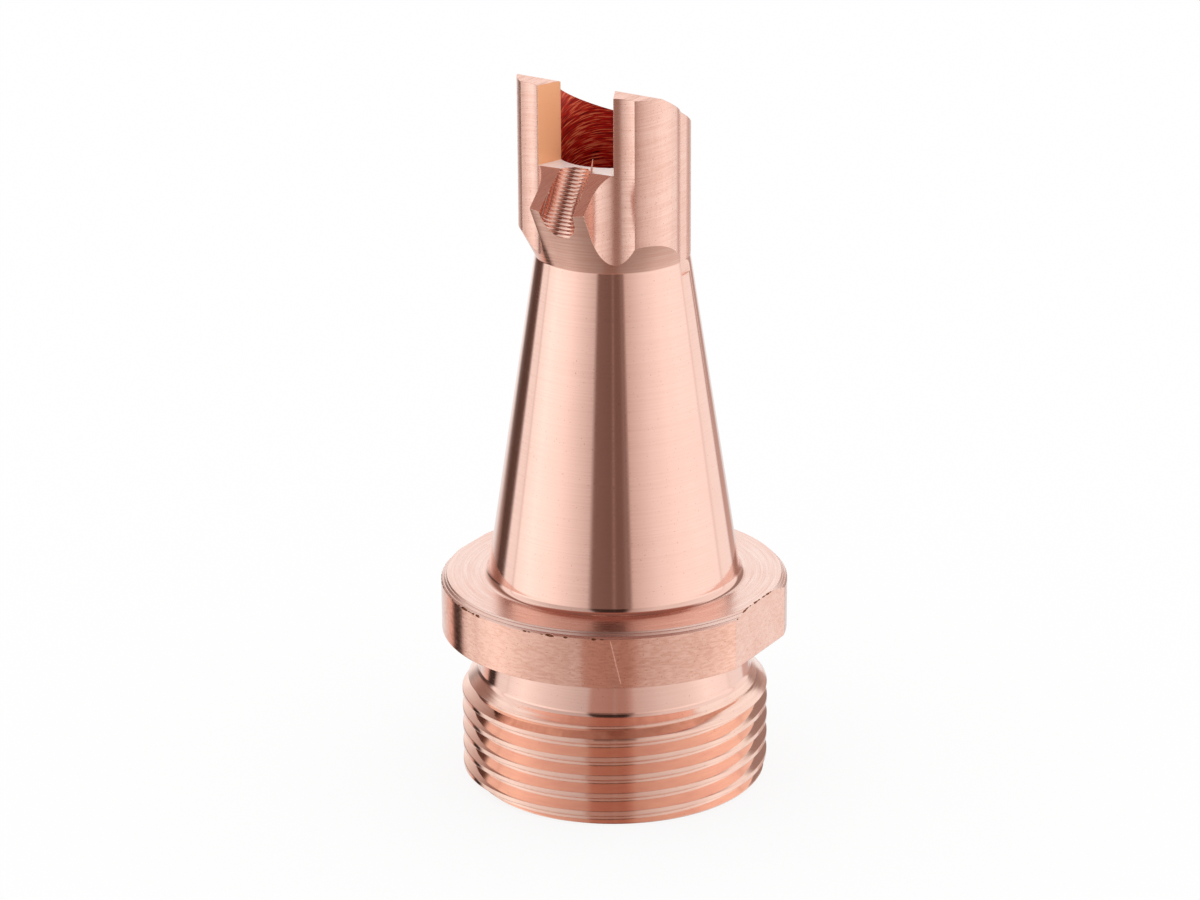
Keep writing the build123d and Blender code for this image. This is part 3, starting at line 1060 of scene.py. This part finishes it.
def build_world(stage):
    """White to the camera and the floor, and softboxes with dark gaps between them to polished metal."""
    world = bpy.data.worlds.new("soft_studio")
    bpy.context.scene.world = world
    world.use_nodes = True
    world.cycles.sampling_method = "NONE"
    tree = world.node_tree
    tree.nodes.clear()
    coords = add_node(tree, "ShaderNodeTexCoord")
    facing = add_node(
        tree,
        "ShaderNodeVectorRotate",
        {"rotation_type": "Z_AXIS"},
        {"Vector": coords.outputs["Generated"], "Angle": -stage.view_turn},
    )
    axes = add_node(tree, "ShaderNodeSeparateXYZ", None, {"Vector": facing.outputs[0]})
    x, y, z = [axes.outputs[name] for name in ("X", "Y", "Z")]
    toward = add_node(tree, "ShaderNodeMath", {"operation": "MULTIPLY"}, {0: y, 1: -1.0})
    azimuth = add_node(tree, "ShaderNodeMath", {"operation": "ARCTAN2"}, {0: x, 1: toward.outputs[0]})
    share = ramped(tree, azimuth.outputs[0], -pi, pi)
    rise = add_node(tree, "ShaderNodeMath", {"operation": "ARCSINE"}, {0: z}).outputs[0]
    seen, low, above = [band(tree, share, level_at) for level_at in (1, 2, 3)]
    for fade, most, colour in (
        (LOW_FADE, 1.0, low),
        (ABOVE_FADE, 1.0, above),
        (UNDER_FADE, UNDER_SHARE, UNDER),
        (HIGH_FADE, 1.0, HIGH),
        (OVERHEAD_FADE, 1.0, OVERHEAD),
    ):
        start, end = [radians(degrees) for degrees in fade]
        seen = blended(tree, ramped(tree, rise, start, end, 0.0, most), seen, colour)
    paths = add_node(tree, "ShaderNodeLightPath")
    mirrored = blended(tree, paths.outputs["Is Glossy Ray"], WHITE, seen)
    light = add_node(tree, "ShaderNodeBackground", None, {"Color": mirrored, "Strength": 1.0})
    add_node(tree, "ShaderNodeOutputWorld", None, {"Surface": light.outputs[0]})


def turned_about(vector, axis, amount):
    """A vector turned round an axis."""
    return Matrix.Rotation(amount, 3, axis) @ vector


SENSOR_WIDTH = 36  # mm


def build_camera(stage):
    """The camera at the photograph's place, turned a little from the point that it circles."""
    rise, distance = stage.view_rise, stage.view_distance
    place = Vector((0, -distance * cos(rise), stage.aim_height + distance * sin(rise)))
    ahead = Vector((0, cos(rise), -sin(rise)))
    right = Vector((1, 0, 0))
    up = right.cross(ahead)
    ahead, right = [turned_about(side, up, stage.aim_yaw) for side in (ahead, right)]
    ahead, up = [turned_about(side, right, stage.aim_pitch) for side in (ahead, up)]
    right, up = [turned_about(side, ahead, stage.aim_roll) for side in (right, up)]
    lens = bpy.data.cameras.new("studio_camera")
    lens.lens = stage.lens
    lens.sensor_width = SENSOR_WIDTH
    camera = bpy.data.objects.new("studio_camera", lens)
    bpy.context.scene.collection.objects.link(camera)
    pose = Matrix((right, up, -ahead)).transposed().to_4x4()
    pose.translation = place
    camera.matrix_world = Matrix.Rotation(stage.view_turn, 4, "Z") @ pose
    bpy.context.scene.camera = camera


FLOOR_SIDES = 96
FLOOR_COLOUR = (0.98, 0.98, 0.98, 1)
FLOOR_GLOW = 0.85  # share of plain white, which thins the shadow


def build_floor(stage):
    """A pale floor that keeps the nozzle's soft shadow."""
    deselect()
    bpy.ops.mesh.primitive_circle_add(vertices=FLOOR_SIDES, radius=stage.floor_r, fill_type="NGON")
    floor = named("studio_floor")
    material = bpy.data.materials.new("pale_matte_floor")
    material.use_nodes = True
    tree = material.node_tree
    shader = tree.nodes["Principled BSDF"]
    shader.inputs["Base Color"].default_value = FLOOR_COLOUR
    shader.inputs["Roughness"].default_value = 1.0
    shader.inputs["Specular IOR Level"].default_value = 0.0
    paths = add_node(tree, "ShaderNodeLightPath")
    glow = add_node(tree, "ShaderNodeEmission", None, {"Color": WHITE, "Strength": 1.0})
    share = ramped(tree, paths.outputs["Is Camera Ray"], 0, 1, 0, FLOOR_GLOW)
    mixed = add_node(
        tree, "ShaderNodeMixShader", None, {0: share, 1: shader.outputs[0], 2: glow.outputs[0]}
    )
    tree.links.new(mixed.outputs[0], tree.nodes["Material Output"].inputs["Surface"])
    floor.data.materials.append(material)
    floor.visible_glossy = False


class NOZZLE_OT_stage(bpy.types.Operator):
    """Make the floor, the light and the camera"""

    bl_idname = "nozzle.stage"
    bl_label = "Stage"

    def execute(self, context):
        stage = context.scene.nozzle_stage
        build_floor(stage)
        build_world(stage)
        build_camera(stage)
        context.scene.view_settings.view_transform = "Standard"
        return {"FINISHED"}


class NOZZLE_PT_panel(bpy.types.Panel):
    """Lists the nozzle's pieces and their sizes"""

    bl_label = "Nozzle"
    bl_idname = "NOZZLE_PT_panel"
    bl_space_type = "VIEW_3D"
    bl_region_type = "UI"
    bl_category = "Nozzle"

    def draw(self, context):
        for operator in OPERATORS:
            self.layout.operator(operator.bl_idname)
        for group in (context.scene.nozzle_sizes, context.scene.nozzle_stage):
            box = self.layout.box()
            for name in group.__annotations__:
                box.prop(group, name)


OPERATORS = (NOZZLE_OT_body, NOZZLE_OT_stage)
CLASSES = (NozzleSizes, NozzleStage, *OPERATORS, NOZZLE_PT_panel)


def register():
    for cls in CLASSES:
        bpy.utils.register_class(cls)
    bpy.types.Scene.nozzle_sizes = bpy.props.PointerProperty(type=NozzleSizes)
    bpy.types.Scene.nozzle_stage = bpy.props.PointerProperty(type=NozzleStage)


def unregister():
    del bpy.types.Scene.nozzle_stage
    del bpy.types.Scene.nozzle_sizes
    for cls in reversed(CLASSES):
        bpy.utils.unregister_class(cls)


def main():
    register()
    bpy.ops.nozzle.body()
    bpy.ops.nozzle.stage()


if __name__ == "__main__":
    main()
